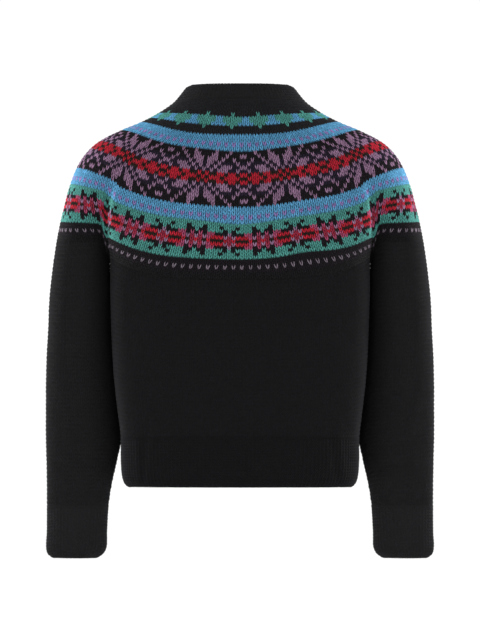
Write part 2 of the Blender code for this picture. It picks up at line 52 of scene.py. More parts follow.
CREASE_HALF_WIDTH = 0.0016
CREASE_ROUND = 0.0028
CREASE_RISES = {1: 0.60, -1: 0.72}  # at the back and front
CREASE_RISE_POWER = 4
ARM_DROP_POWER = 9
OVAL_RISE_POWERS = (3.5, 1.6)
BODY_HALF_WIDTH = 0.187
BODY_CENTRE_Y = 0.012
BODY_SQUARENESS = 2.6
OVAL_SQUARENESS = 2.3
ARM_HALF_DEPTH = 0.066
FRONT_EDGE = 0.0143
SEAM_GAP = 0.0003
# name, z_back, z_side, z_front, half_width, y_back, y_front, y_side, and how far the ring
# has gone from a plain oval to a body and two arms: in its levels, and in plan
TOP_RINGS = (
    ("neck top", 0.0404, 0.0390, -0.0185, 0.0680, 0.0688, -0.0748, 0.000, 0.00, 0.00),
    ("neck edge", 0.0372, 0.0352, -0.0222, 0.0765, 0.0730, -0.0785, 0.000, 0.00, 0.00),
    ("neck middle", 0.0300, 0.0280, -0.0300, 0.0825, 0.0765, -0.0815, 0.000, 0.00, 0.00),
    ("neck seam", 0.0175, 0.0145, -0.0420, 0.0940, 0.0830, -0.0870, 0.000, 0.00, 0.00),
    ("first colour", -0.004, -0.0015, -0.0600, 0.1170, 0.0950, -0.0980, 0.000, 0.00, 0.00),
    ("first blue", -0.033, -0.0145, -0.0880, 0.1420, 0.1075, -0.1060, -0.002, 0.00, 0.00),
    ("stars begin", -0.053, -0.0260, -0.1090, 0.1700, 0.1150, -0.1120, -0.004, 0.00, 0.00),
    ("stars above", -0.080, -0.0430, -0.1380, 0.2030, 0.1215, -0.1190, -0.007, 0.00, 0.00),
    ("stars below", -0.108, -0.0610, -0.1670, 0.2220, 0.1250, -0.1250, -0.010, 0.08, 0.02),
    ("second blue", -0.134, -0.0810, -0.1940, 0.2340, 0.1260, -0.1290, -0.012, 0.26, 0.08),
    ("crosses begin", -0.155, -0.1040, -0.2150, 0.2430, 0.1260, -0.1310, -0.014, 0.48, 0.18),
    ("crosses", -0.182, -0.1310, -0.2420, 0.2505, 0.1250, -0.1310, -0.015, 0.70, 0.36),
    ("crosses end", -0.210, -0.1580, -0.2700, 0.2570, 0.1240, -0.1300, -0.015, 0.87, 0.64),
    ("yoke foot", -0.240, -0.1860, -0.3000, 0.2625, 0.1220, -0.1270, -0.015, 1.00, 1.00),
)
FOOT_Z = TOP_RINGS[-1][2]  # the yoke's foot, at the side
# z, half_width, y_back, y_front
BODY_SECTIONS = (
    (-0.3400, 0.1826, 0.1155, -0.1210),
    (-0.3800, 0.1800, 0.1120, -0.1175),
    (-0.4200, 0.1756, 0.1090, -0.1145),
    (-0.4640, 0.1704, 0.1065, -0.1120),
    (-0.5000, 0.1700, 0.1050, -0.1100),
    (-0.5200, 0.1683, 0.1038, -0.1088),
    (-0.5305, 0.1650, 0.1018, -0.1068),
    (-0.5355, 0.1598, 0.0985, -0.1035),
)
HEM_SECTION = 3
BLEND_ROWS = 2
# Stations of half a ring, from centre back to the front edge: kind, angle round its own
# lobe (for a crease, 1 at the back or -1 at the front), angle round the plain oval, steps
# to the next.
STATIONS = (
    ("body", 0, 0.0, 2),
    ("body", 18, 11.0, 2),
    ("body", 36, 22.0, 2),
    ("body", 52, 32.0, 2),
    ("body", 66, 40.0, 1),
    ("body", 78, 45.0, 1),
    ("crease body side", 1, 46.7, 1),
    ("crease", 1, 47.5, 1),
    ("crease arm side", 1, 48.3, 1),
    ("arm", 40, 50.5, 1),
    ("arm", 65, 56.0, 1),
    ("arm", 90, 64.0, 1),
    ("arm", 120, 73.0, 1),
    ("arm", 150, 82.0, 1),
    ("arm", 180, 90.0, 1),
    ("arm", 210, 98.0, 1),
    ("arm", 240, 107.0, 1),
    ("arm", 270, 116.0, 1),
    ("arm", 295, 124.0, 1),
    ("arm", 320, 129.5, 1),
    ("crease arm side", -1, 131.7, 1),
    ("crease", -1, 132.5, 1),
    ("crease body side", -1, 133.3, 1),
    ("body", 112, 136.0, 1),
    ("body", 120, 141.0, 2),
    ("body", 130, 149.0, 2),
    ("body", 145, 158.0, 2),
    ("body", 162, 169.0, 2),
    ("front edge", 180, 180.0, 1),
)
# Where the armhole's back crease (1), middle (0) and front crease (-1) lead to below the
# yoke: the angle round the body, and the angle round the arm.
UNDERARM_ANGLES = {1: (90.3, 22.0), 0: (96.8, 0.0), -1: (106.0, 338.0)}
BODY_KINDS = ("body", "crease body side", "front edge")
SHORTEST_GAP = 1e-7
FINE_ROUND = 4  # points round for each one of the CAD wall's
FINE_DOWN = 8  # rows for each ring
OPENING_STEPS = 2  # from one front edge to the other
OPENING = OPENING_STEPS * FINE_ROUND
OUT_Y = 4  # which of a grid point's six numbers says how far it faces the back

BODY_ROWS = 41
BODY_STITCHES = {"back": 92, "front_left": 43, "front_right": 43}
# Flat width and length, and how much of that oblong the piece fills: the yoke takes the
# The yoke takes the upper corner of each front.
CLOTH_OUTSIDE = -0.0008  # the cloth's two faces, from the CAD wall's outer face
CLOTH_INSIDE = -0.0021
STRAND_EDGE = -0.0010
# One strand of a V: across from the stitch's middle, down, half width and height. The
# first three are shares of a stitch.
STRAND = (
    (-0.36, -0.46, 0.00, -0.0007),
    (-0.32, -0.12, 0.125, 0.0001),
    (-0.25, 0.27, 0.165, 0.0005),
    (-0.16, 0.66, 0.135, 0.0001),
    (-0.07, 1.02, 0.00, -0.0009),
)
# How uneven the stitches are: in shares of a stitch, and in height.
UNEVEN_PLACE = 0.018
UNEVEN_WIDTH = 0.05
UNEVEN_HEIGHT = 0.00006
MILLIMETRES = 1000  # in a metre
# Soft creases, in millimetres: from x, z, to x, z, half width, depth, side (1 is the back)
BODY_CREASES = (
    (92, -262, 84, -455, 15, 1.6, 1),
    (-46, -280, -40, -470, 13, 1.3, 1),
    (4, -385, -2, -512, 11, 1.8, 1),
    (-100, -340, -104, -450, 12, 1.1, 1),
    (50, -400, 46, -520, 10, -1.1, 1),
    (17, -450, 15, -516, 8, 2.4, 1),
    (-10, -470, -8, -522, 5, 1.4, 1),
    (134, -452, 140, -530, 4.5, 2, 1),
    (148, -470, 143, -530, 4, -1, 1),
    (-128, -462, -140, -530, 4.5, 2, 1),
    (-140, -448, -150, -520, 4, -1, 1),
    (-60, -478, -62, -530, 5, 1.2, 1),
    (156, -250, 158, -340, 9, 1.6, 1),
    (-158, -252, -156, -330, 8, 1.4, 1),
    (150, -300, 118, -420, 12, 1, 1),
    (-150, -330, -128, -500, 12, -1, 1),
    (146, -290, 118, -390, 11, 1.7, -1),
    (-146, -296, -110, -380, 12, 1.5, -1),
    (70, -330, 80, -480, 14, 1.5, -1),
    (-78, -360, -70, -500, 13, 1.3, -1),
)
WOOL_BLACK = (0.0036, 0.0036, 0.0042, 1.0)
DARK_FUZZ = (0.30, 0.30, 0.34, 1.0)
SHEEN = 0.06
WOOL_FINISH = {"Roughness": 0.9, "Specular IOR Level": 0.10, "Sheen Roughness": 0.45}
YARN_MOTTLE = {"From Min": 0.3, "From Max": 0.7, "To Min": 0.72, "To Max": 1.28}
PURL_BUMP = {"Strength": 0.6, "Distance": 0.0006}
PURL_WAVE = 1.1  # how far a purl row waves between stitches, in radians of its height
# Yarn seen close: a mottled tint, a bump of fine fibres, and wavy purl rows by the UV map
# that counts stitches and rows. Each node's name, kind and work, its plain values, and
# the node and output that feed each of its inputs.
YARN_NODES = (
    ("place", "TexCoord", {}, {}),
    ("patches", "TexNoise", {"Scale": 420, "Detail": 3}, {"Vector": "place Object"}),
    ("fibres", "TexNoise", {"Scale": 2600, "Detail": 4}, {"Vector": "place Object"}),
    ("mottle", "MapRange", YARN_MOTTLE, {"Value": "patches Fac"}),
    ("tint", "VectorMath SCALE", {}, {0: "given Yarn", "Scale": "mottle Result"}),
    ("counted", "UVMap", {}, {}),
    ("turns", "VectorMath SCALE", {"Scale": 2 * pi}, {0: "counted UV"}),
    ("apart", "SeparateXYZ", {}, {"Vector": "turns Vector"}),
    ("sway", "Math COSINE", {}, {0: "apart X"}),
    ("wave", "Math MULTIPLY_ADD", {1: PURL_WAVE}, {0: "sway Value", 2: "apart Y"}),
    ("purl", "Math COSINE", {}, {0: "wave Value"}),
    ("fuzz", "Bump", {"Strength": 0.5, "Distance": 0.0003}, {"Height": "fibres Fac"}),
    ("bump", "Bump", PURL_BUMP, {"Height": "purl Value", "Normal": "fuzz Normal"}),
    ("result", "Output", {}, {"Colour": "tint Vector", "Normal": "bump Normal"}),
)
CHANCE_SEED = 11


def oval_point(angle, half_width, y_back, y_front, y_middle, squareness):
    """A point of a squarish oval, in plan: 0 is centre back, and 180 the front edge."""
    depth = (y_back if angle <= 90 else y_front) - y_middle
    if angle == 180:
        away = (1 - (FRONT_EDGE / half_width) ** squareness) ** (1 / squareness)
        return np.array((FRONT_EDGE, y_middle + depth * away))
    sideways, away = (abs(wave(radians(angle))) ** (2 / squareness) for wave in (sin, cos))
    return np.array((half_width * sideways, y_middle + depth * away))


def arm_point(angle, inner_x, outer_x, y_middle, half_depth):
    """A point round an arm: 0 faces the body, 90 the back, 180 outwards."""
    a = radians(angle)
    middle_x = (inner_x + outer_x) / 2
    half_width = (outer_x - inner_x) / 2
    return np.array((middle_x - half_width * cos(a), y_middle + half_depth * sin(a)))


def crease_point(kind, side):
    """A point in the crease at the armhole, at the back (side 1) or front (side -1)."""
    y = ARMPIT_Y + side * ARMPIT_HALF_LENGTH
    if kind == "crease":
        return np.array((ARMPIT_X, y))
    across = -CREASE_HALF_WIDTH if kind == "crease body side" else CREASE_HALF_WIDTH
    return np.array((ARMPIT_X + across, y + side * CREASE_ROUND))


def oval_station(ring, oval_angle):
    """A station of a ring that is one plain oval round body and arms."""
    _, z_back, z_side, z_front, half_width, y_back, y_front, y_side, _, _ = ring
    x, y = oval_point(oval_angle, half_width, y_back, y_front, y_side, OVAL_SQUARENESS)
    share = min(1.0, x / half_width)
    outer_power, inner_power = OVAL_RISE_POWERS
    rise = 1 - (1 - share**outer_power) ** inner_power
    z_middle = z_back if oval_angle <= 90 else z_front
    return np.array((x, y, z_middle + (z_side - z_middle) * rise))


def lobed_station(ring, kind, angle):
    """A station of a ring that goes round the body and each arm, with creases between."""
    _, z_back, z_side, z_front, half_width, y_back, y_front, _, step, _ = ring
    drop = ARMPIT_DROP * step
    if kind == "arm":
        x, y = arm_point(angle, ARMPIT_X, half_width, ARMPIT_Y, ARM_HALF_DEPTH)
        inward = max(0.0, cos(radians(angle)))
        return np.array((x, y, z_side - drop * inward**ARM_DROP_POWER))
    if kind.startswith("crease"):
        x, y = crease_point(kind, angle)
        return np.array((x, y, z_side - drop))
    x, y = oval_point(angle, BODY_HALF_WIDTH, y_back, y_front, BODY_CENTRE_Y, BODY_SQUARENESS)
    z_middle, side = (z_back, 1) if angle <= 90 else (z_front, -1)
    rise = CREASE_RISES[side] * (x / BODY_HALF_WIDTH) ** CREASE_RISE_POWER
    return np.array((x, y, z_middle + (z_side - z_middle) * rise))


def top_ring(ring):
    """Half a ring of the yoke, from centre back to the front edge."""
    step, crease = ring[-2:]
    points = []
    for kind, angle, oval_angle, _ in STATIONS:
        oval = oval_station(ring, oval_angle)
        lobed = lobed_station(ring, kind, angle)
        points.append(oval + (lobed - oval) * (crease, crease, step))
    return np.array(points)


def mirrored(half):
    """A whole ring from half of one: left half, then the right half back to the start."""
    return np.concatenate([half, half[::-1][:-1] * (-1, 1, 1)])


def smooth(points, steps, closed=False):
    """Points along a smooth curve through the given ones, steps[i] of them after each."""
    points = np.asarray(points, float)
    if closed:
        points = np.concatenate([points[-1:], points, points[:2]])
    gaps = np.linalg.norm(np.diff(points, axis=0), axis=1)
    gaps = np.sqrt(np.maximum(gaps, SHORTEST_GAP))[:, None]
    slopes = np.diff(points, axis=0) / gaps
    tangents = (slopes[:-1] * gaps[1:] + slopes[1:] * gaps[:-1]) / (gaps[:-1] + gaps[1:])
    if closed:
        points, gaps = points[1:-1], gaps[1:-1]
    else:
        tangents = np.concatenate([slopes[:1], tangents, slopes[-1:]])
    part = np.repeat(np.arange(len(steps)), steps)
    t = np.concatenate([np.arange(count) / count for count in steps])[:, None]
    made = (
        (1 + 2 * t) * (1 - t) ** 2 * points[part]
        + t * (1 - t) ** 2 * gaps[part] * tangents[part]
        + t**2 * (3 - 2 * t) * points[part + 1]
        + t**2 * (t - 1) * gaps[part] * tangents[part + 1]
    )
    return made if closed else np.concatenate([made, points[-1:]])


def faced(grid):
    """A closed grid with the outward direction added to each point."""
    down = np.gradient(grid, axis=0)
    round_it = np.roll(grid, -1, axis=1) - np.roll(grid, 1, axis=1)
    out = np.cross(round_it, down)
    out /= np.linalg.norm(out, axis=2, keepdims=True)
    return np.concatenate([grid, out], axis=2)


def surface_through(rings, steps):
    """A fine smooth surface through closed rings; its rows go down, its columns round."""
    down = smooth(rings.reshape(len(rings), -1), [FINE_DOWN] * (len(rings) - 1))
    fine = [count * FINE_ROUND for count in steps]
    rows = down.reshape(len(down), -1, 3)
    return faced(np.array([smooth(row, fine, closed=True) for row in rows]))


def creased(surface, creases):
    """The surface with soft troughs pressed in along straight lines."""
    depth = np.zeros(surface.shape[:2])
    spot = surface[..., (0, 2)]
    for *sizes, side in creases:
        x, z, to_x, to_z, half_width, deep = np.array(sizes) / MILLIMETRES
        start = np.array((x, z))
        line = np.array((to_x, to_z)) - start
        along = np.clip((spot - start) @ line / (line @ line), 0, 1)
        apart = np.linalg.norm(spot - start - along[..., None] * line, axis=2)
        facing_it = np.clip(surface[..., OUT_Y] * side, 0, 1)
        depth += deep * np.exp(-((apart / half_width) ** 2)) * facing_it
    return faced(surface[..., :3] - surface[..., 3:] * depth[..., None])


def station_numbers(kinds):
    """The numbers of the stations of those kinds, along half a ring."""
    return [i for i, station in enumerate(STATIONS) if station[0] in kinds]


def body_section_point(angle, z):
    """A point of the body's level cross section at height z, eased from the underarm."""
    foot = (FOOT_Z - ARMPIT_DROP, BODY_HALF_WIDTH, *TOP_RINGS[-1][5:7])
    heights, *sizes = zip(foot, *BODY_SECTIONS)
    half_width, y_back, y_front = (np.interp(-z, np.negative(heights), size) for size in sizes)
    return oval_point(angle, half_width, y_back, y_front, BODY_CENTRE_Y, BODY_SQUARENESS)


def underarm_middle(side):
    """The middle of the underarm seam, on the body's side (-1) or the sleeve's (1)."""
    return np.array((ARMPIT_X + side * SEAM_GAP / 2, ARMPIT_Y, FOOT_Z - ARMPIT_DROP))


def foot_rings(numbers, split, middle):
    """The yoke's last two rings at those stations, with the underarm's middle let in."""
    rings = [np.insert(top_ring(ring)[numbers], split, middle, axis=0) for ring in TOP_RINGS[-2:]]
    rings[0][split, 2] += TOP_RINGS[-2][2] - FOOT_Z
    return rings


def body_rings():
    """Half rings of the body: one of the yoke, the yoke's foot, then down to the hem."""
    numbers = station_numbers(BODY_KINDS)
    stations = [STATIONS[i] for i in numbers]
    split = next(i for i, s in enumerate(stations) if s[:2] == ("crease body side", -1))
    angles = [UNDERARM_ANGLES[s[1]][0] if s[0] == "crease body side" else s[1] for s in stations]
    angles.insert(split, UNDERARM_ANGLES[0][0])
    rings = foot_rings(numbers, split, underarm_middle(-1))
    foot = rings[1]
    first = BODY_SECTIONS[0][0]
    for row in range(1, BLEND_ROWS + 1):
        share = row / (BLEND_ROWS + 1)
        z = foot[:, 2] + (first - foot[:, 2]) * share
        level = np.array([body_section_point(a, height) for a, height in zip(angles, z)])
        near = (1 - share) ** 2
        flat = foot[:, :2] * near + level * (1 - near)
        rings.append(np.column_stack([flat, z]))
    for section in BODY_SECTIONS:
        z = section[0]
        rings.append(np.array([(*body_section_point(a, z), z) for a in angles]))
    return np.array(rings), split


def walked(line):
    """How far along a line each of its points lies."""
    gaps = np.linalg.norm(np.diff(line[:, :3], axis=0), axis=1)
    return np.concatenate([[0], np.cumsum(gaps)])


def picked(line, wanted, along):
    """A line's points and directions at the wanted places along it."""
    return np.stack([np.interp(wanted, along, values) for values in line.T], axis=1)


def evenly_down(grid, rows):
    """The grid with its rows spaced evenly down each column."""
    made = []
    for column in grid.transpose(1, 0, 2):
        along = walked(column)
        made.append(picked(column, np.linspace(0, along[-1], rows + 1), along))
    return np.array(made).transpose(1, 0, 2)


def widened(share, spread):
    """A place along a row, -1 to 1, with the middle drawn wider by spread."""
    return share * (1 + spread) - spread * share**3


def evenly_round(grid, columns, spreads=(0.0, 0.0)):
    """The grid with its columns spaced evenly along each row. With spreads, for the
    first and the last row, those in the middle are that share wider."""
    places = np.linspace(-1, 1, columns + 1)
    made = []
    for row, spread in zip(grid, np.linspace(*spreads, len(grid))):
        along = walked(row)
        made.append(picked(row, (widened(places, spread) + 1) / 2 * along[-1], along))
    return np.array(made)


def cells(grid, left=None, width=1):
    """The four corners of each stitch, that many columns wide from each of the left ones."""
    if left is None:
        left = np.arange(grid.shape[1] - width)
    above, below = grid[:-1], grid[1:]
    corners = (above[:, left], above[:, left + width], below[:, left], below[:, left + width])
    return np.stack(corners, axis=2).reshape(-1, 4, 6)


def strand(stations):
    """A strand's points, and the faces from tip to tip over rings of three points."""
    points = []
    for across, down, half_width, height in stations:
        if half_width:
            points.append((across - half_width, down, STRAND_EDGE))
        points.append((across, down, height))
        if half_width:
            points.append((across + half_width, down, STRAND_EDGE))
    tip = len(points) - 1
    faces = [(0, 2, 1), (0, 3, 2)]
    for first in range(1, tip - 3, 3):
        for i in (first, first + 1):
            faces += [(i, i + 1, i + 4), (i, i + 4, i + 3)]
    faces += [(tip - 3, tip - 2, tip), (tip - 2, tip - 1, tip)]
    return points, faces


def knit_stitch(shape=STRAND, wide=1.0):
    """The V of one stitch in shares of its cell, which may be narrower than it is."""
    left = [(across * wide, down, half * wide, height) for across, down, half, height in shape]
    right = [(-across, down, half, height) for across, down, half, height in left]
    points, faces = strand(left)
    more, again = strand(right)
    faces += [tuple(i + len(points) for i in face) for face in again]
    return np.array(points + more) + (0.5, 0, 0), np.array(faces)


def worked(corners, stitch, lift=0.0):
    """The stitch set in every cell, a little uneven: points for each cell, and faces."""
    shape, faces = stitch
    count = len(corners)
    sway = chance.normal(0, UNEVEN_PLACE, (count, 1))
    swell = 1 + chance.normal(0, UNEVEN_WIDTH, (count, 1))
    rise = lift + chance.normal(0, UNEVEN_HEIGHT, (count, 1))
    u = ((shape[:, 0] - 0.5) * swell + 0.5 + sway)[..., None]
    v = np.broadcast_to(shape[:, 1], u.shape[:2])[..., None]
    a, b, c, d = (corners[:, k, None] for k in range(4))
    mixed = (a * (1 - u) + b * u) * (1 - v) + (c * (1 - u) + d * u) * v
    out = mixed[..., 3:] / np.linalg.norm(mixed[..., 3:], axis=2, keepdims=True)
    return mixed[..., :3] + out * (shape[:, 2] + rise)[..., None], faces


def in_scene(name, data):
    """A new object of the scene, made of that mesh, light or camera."""
    made = bpy.data.objects.new(name, data)
    bpy.context.scene.collection.objects.link(made)
    return made


def new_piece(name, points, faces, wool):
    """A smooth mesh that goes with the garment, with that wool as its material."""
    mesh = bpy.data.meshes.new(name)
    mesh.from_pydata(np.asarray(points).tolist(), [], np.asarray(faces).tolist())
    mesh.shade_smooth()
    mesh.materials.append(wool)
    piece = in_scene(name, mesh)
    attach(piece, "root")
    return piece


def stitches(name, layers, wool):
    """One mesh of all the stitches in the layers that worked() made."""
    points, faces, start = [], [], 0
    for made, pattern in layers:
        count, size = made.shape[:2]
        firsts = start + np.arange(count) * size
        faces.append((pattern[None] + firsts[:, None, None]).reshape(-1, 3))
        points.append(made.reshape(-1, 3))
        start += count * size
    return new_piece(name, np.concatenate(points), np.concatenate(faces), wool)


def cloth_layer(name, grid, wool, closed=False, rows_each=1):
    """The thin cloth under the stitches, a closed layer with its own edges. Its UV map
    counts stitches round and rows down, with so many rows in each of the grid's."""
    rows, count = grid.shape[:2]
    outside = grid[..., :3] + grid[..., 3:] * CLOTH_OUTSIDE
    inside = grid[..., :3] + grid[..., 3:] * CLOTH_INSIDE
    points = np.concatenate([outside.reshape(-1, 3), inside.reshape(-1, 3)])
    # Each patch of faces: the row and column of a face's corners, which of them are on
    # the inside, and which way round they go.
    down, along = np.arange(rows - 1), np.arange(count - 1 + closed)
    r, c = (numbers.ravel() for numbers in np.meshgrid(down, along, indexing="ij"))
    square = ((r, c), (r, c + 1), (r + 1, c + 1), (r + 1, c))
    patches = [(square, (0, 0, 0, 0), 1), (square, (1, 1, 1, 1), -1)]
    for row, turn in ((0, 1), (rows - 1, -1)):
        edge = np.full_like(along, row)
        rim = ((edge, along + 1), (edge, along), (edge, along), (edge, along + 1))
        patches.append((rim, (0, 0, 1, 1), turn))
    for column, turn in () if closed else ((0, 1), (count - 1, -1)):
        edge = np.full_like(down, column)
        rim = ((down, edge), (down + 1, edge), (down + 1, edge), (down, edge))
        patches.append((rim, (0, 0, 1, 1), turn))
    faces, uvs = [], []
    for corners, inner, turn in patches:
        spots = np.array(corners).transpose(2, 0, 1)
        numbers = spots[..., 0] * count + spots[..., 1] % count + np.array(inner) * rows * count
        faces.append(numbers[:, ::turn])
        uvs.append(spots[:, ::turn, ::-1])
    piece = new_piece(name, points, np.concatenate(faces), wool)
    layer = piece.data.uv_layers.new(name="stitches")
    layer.data.foreach_set("uv", (np.concatenate(uvs) * (1.0, rows_each)).ravel())
    return piece


def tune(node, values):
    """Set the inputs of the node that the values name."""
    for socket, value in values.items():
        node.inputs[socket].default_value = value


def material(name, finish):
    """A new material with those plain values."""
    made = bpy.data.materials.new(name)
    made.use_nodes = True
    tune(made.node_tree.nodes["Principled BSDF"], finish)
    return made


def wired(tree, recipe):
    """Add a recipe's nodes to the tree, unless they are there, and join them up."""
    for name, kind, values, feeds in recipe:
        kind, *work = kind.split()
        node = tree.nodes.get(name) or tree.nodes.new("ShaderNode" + kind)
        node.name = name
        if work:
            node.operation = work[0]
        tune(node, values)
        for socket, feed in feeds.items():
            source, output = feed.split()
            tree.links.new(tree.nodes[source].outputs[output], node.inputs[socket])


def wool_group():
    """The yarn's node group: a yarn's colour goes in, its tint and bump come out."""
    group = bpy.data.node_groups.new("wool yarn", "ShaderNodeTree")
    for socket, kind, way in (
        ("Yarn", "NodeSocketColor", "INPUT"),
        ("Colour", "NodeSocketColor", "OUTPUT"),
        ("Normal", "NodeSocketVector", "OUTPUT"),
    ):
        group.interface.new_socket(name=socket, socket_type=kind, in_out=way)
    group.nodes.new("NodeGroupInput").name = "given"
    group.nodes.new("NodeGroupOutput").name = "result"
    wired(group, YARN_NODES)
    group.nodes["counted"].uv_map = "stitches"
    return group


def wool(name, fuzz, colour=None, sheen=SHEEN):
    """A matt wool material with a soft fuzz, in one colour or else as its mesh is painted."""
    made = material(name, {"Sheen Weight": sheen, "Sheen Tint": fuzz, **WOOL_FINISH})
    nodes, links = made.node_tree.nodes, made.node_tree.links
    yarn = nodes.new("ShaderNodeGroup")
    yarn.node_tree = yarn_group
    if colour:
        yarn.inputs["Yarn"].default_value = colour
    else:
        painted = nodes.new("ShaderNodeVertexColor")
        painted.layer_name = "yarn"
        links.new(painted.outputs["Color"], yarn.inputs["Yarn"])
    shader = nodes["Principled BSDF"]
    links.new(yarn.outputs["Colour"], shader.inputs["Base Color"])
    links.new(yarn.outputs["Normal"], shader.inputs["Normal"])
    return made


chance = np.random.default_rng(CHANCE_SEED)
yarn_group = wool_group()
black_wool = wool("black wool", DARK_FUZZ, WOOL_BLACK)

rings, split = body_rings()
body_steps = [STATIONS[i][3] for i in station_numbers(BODY_KINDS)[:-1]]
body_steps.insert(split, 1)
half_body = sum(body_steps) * FINE_ROUND
side_body = sum(body_steps[:split]) * FINE_ROUND
whole_steps = body_steps + [OPENING_STEPS] + body_steps[::-1]
body = surface_through(np.array([mirrored(half) for half in rings]), whole_steps)
body = creased(body, BODY_CREASES)[FINE_DOWN:]
count = body.shape[1]
body_columns = {
    "back": np.arange(-side_body, side_body + 1) % count,
    "front_left": np.arange(side_body, half_body + 1),
    "front_right": np.arange(half_body + OPENING, count - side_body + 1),
}
hem_row = (BLEND_ROWS + 1 + HEM_SECTION) * FINE_DOWN
v_stitch = knit_stitch()
for name, columns in body_columns.items():
    panel = body[: hem_row + 1, columns]
    grid = evenly_round(evenly_down(panel, BODY_ROWS), BODY_STITCHES[name])
    face = stitches(name + "_stitches", [worked(cells(grid), v_stitch)], black_wool)
    cloth = cloth_layer(name + "_cloth", grid, black_wool)
    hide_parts(name)

# Hem: three bands of one and one rib in the same black wool, knitted down from the back
# and the fronts. Knit stitches stand up in columns, purl bumps lie in the grooves, and a
# cast-off chain closes the edge.
HEM_ROWS = 18
HEM_RIBS = {"back": 84, "front_left": 40, "front_right": 40}
RIB_WIDTH = 2  # columns of the grid for each knit stitch and for each purl groove
RIB_RISE = 0.00015
RIB_STITCH_WIDTH = 1.35  # shares of half a rib
PURL_LIFT = 0.0001
CHAIN_OUTSIDE = 0.0004  # the cast-off chain lies over the edge, between these two
CHAIN_INSIDE = -0.0026
CHAIN_LIFT = 0.0004
# A purl bump: along its row, down, half height, height
PURL = (
    (-0.10, 0.40, 0.00, -0.0010),
    (0.28, 0.57, 0.24, 0.0000),
    (0.72, 0.57, 0.24, 0.0000),
    (1.10, 0.40, 0.00, -0.0010),
)
RIB_STRAND = (
    (-0.36, -0.46, 0.00, -0.0007),
    (-0.31, -0.02, 0.15, 0.0003),
    (-0.19, 0.54, 0.15, 0.0003),
    (-0.07, 1.02, 0.00, -0.0009),
)


def purl_stitch():
    """A bump that lies across its cell: a strand turned on its side."""
    points, faces = strand([(down, across, half, height) for across, down, half, height in PURL])
    turned = [(along, down, height) for down, along, height in points]
    return np.array(turned), np.array([face[::-1] for face in faces])


def chain_stitch():
    """A V on its side, for the chain along a cast-off edge."""
    points, faces = knit_stitch(RIB_STRAND)
    return points[:, (1, 0, 2)], faces[:, ::-1]


def rib_band(name, panel, rows, ribs, wool, edge=1, closed=False):
    """A rib band: its cloth, and one mesh of its stitches with the chain at its edge.
    edge is 1 for a cast-off edge at the foot, and -1 for one at the top."""
    if closed:
        panel = np.concatenate([panel, panel[:, :1]], axis=1)
    grid = evenly_round(evenly_down(panel, rows), 2 * RIB_WIDTH * ribs)
    knit_left = np.arange(ribs) * 2 * RIB_WIDTH + 1
    purl_left = knit_left[:-1] + RIB_WIDTH
    joined, ribbed = (grid[:2], grid[1:]) if edge > 0 else (grid[-2:], grid[:-1])
    rib_stitch = knit_stitch(RIB_STRAND, RIB_STITCH_WIDTH)
    made = [
        worked(cells(grid, knit_left, RIB_WIDTH), rib_stitch, RIB_RISE),
        worked(cells(joined, purl_left, RIB_WIDTH), rib_stitch),
        worked(cells(ribbed, purl_left, RIB_WIDTH), purl_stitch(), PURL_LIFT),
    ]
    rim = grid[-1] if edge > 0 else grid[0]
    out, away = rim[:, 3:], np.gradient(grid[..., :3], axis=0)[-1 if edge > 0 else 0] * edge
    away /= np.linalg.norm(away, axis=1, keepdims=True)
    outer = np.concatenate([rim[:, :3] + out * CHAIN_OUTSIDE, away], axis=1)
    inner = np.concatenate([rim[:, :3] + out * CHAIN_INSIDE, away], axis=1)
    lip = np.array([outer, inner] if edge > 0 else [inner, outer])
    links = cells(lip, np.arange(0, 2 * RIB_WIDTH * ribs, RIB_WIDTH), RIB_WIDTH)
    made.append(worked(links, chain_stitch(), CHAIN_LIFT))
    layer = grid[::2, : -1 if closed else None : 2]
    cloth = cloth_layer(name + "_cloth", layer, wool, closed, rows_each=2)
    return cloth, stitches(name + "_stitches", made, wool)


for name, columns in body_columns.items():
    panel = body[hem_row:, columns]
    cloth, face = rib_band("hem_" + name, panel, HEM_ROWS, HEM_RIBS[name], black_wool)
    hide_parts("hem_" + name)

# Sleeves: two tapered tubes of plain knit in black wool, worked down from the yoke. The
# columns of stitches run straight down the outside, and are lost one by one at the
# shaping line under the arm.
# z, inner_x, outer_x, middle_y, half_depth
SLEEVE_SECTIONS = (
    (-0.3100, 0.1836, 0.2745, -0.030, 0.0655),
    (-0.3450, 0.1808, 0.2766, -0.036, 0.0620),
    (-0.3850, 0.1770, 0.2778, -0.041, 0.0575),
    (-0.4250, 0.1732, 0.2780, -0.046, 0.0530),
    (-0.4650, 0.1697, 0.2780, -0.050, 0.0485),
    (-0.5000, 0.1765, 0.2772, -0.053, 0.0445),
    (-0.5300, 0.1832, 0.2767, -0.055, 0.0400),
    (-0.5630, 0.1883, 0.2766, -0.057, 0.0350),
    (-0.6000, 0.1905, 0.2768, -0.059, 0.0308),
    (-0.6240, 0.1916, 0.2778, -0.060, 0.0288),
    (-0.6325, 0.1968, 0.2752, -0.0605, 0.0272),
    (-0.6380, 0.2055, 0.2680, -0.061, 0.0245),
)
CUFF_SECTION = 7
SLEEVE_ROWS = 62
SLEEVE_STITCH = 0.0056
SLEEVE_CLOTH_STITCHES = 56
WOOL_SLEEVE_PAINTED_LIGHTER = (0.0052, 0.0052, 0.0058, 1.0)  # painted light: a little paler than the body's, for the light on the sleeves
NARROWEST_STITCH = 0.35  # of a stitch, where one meets the shaping line
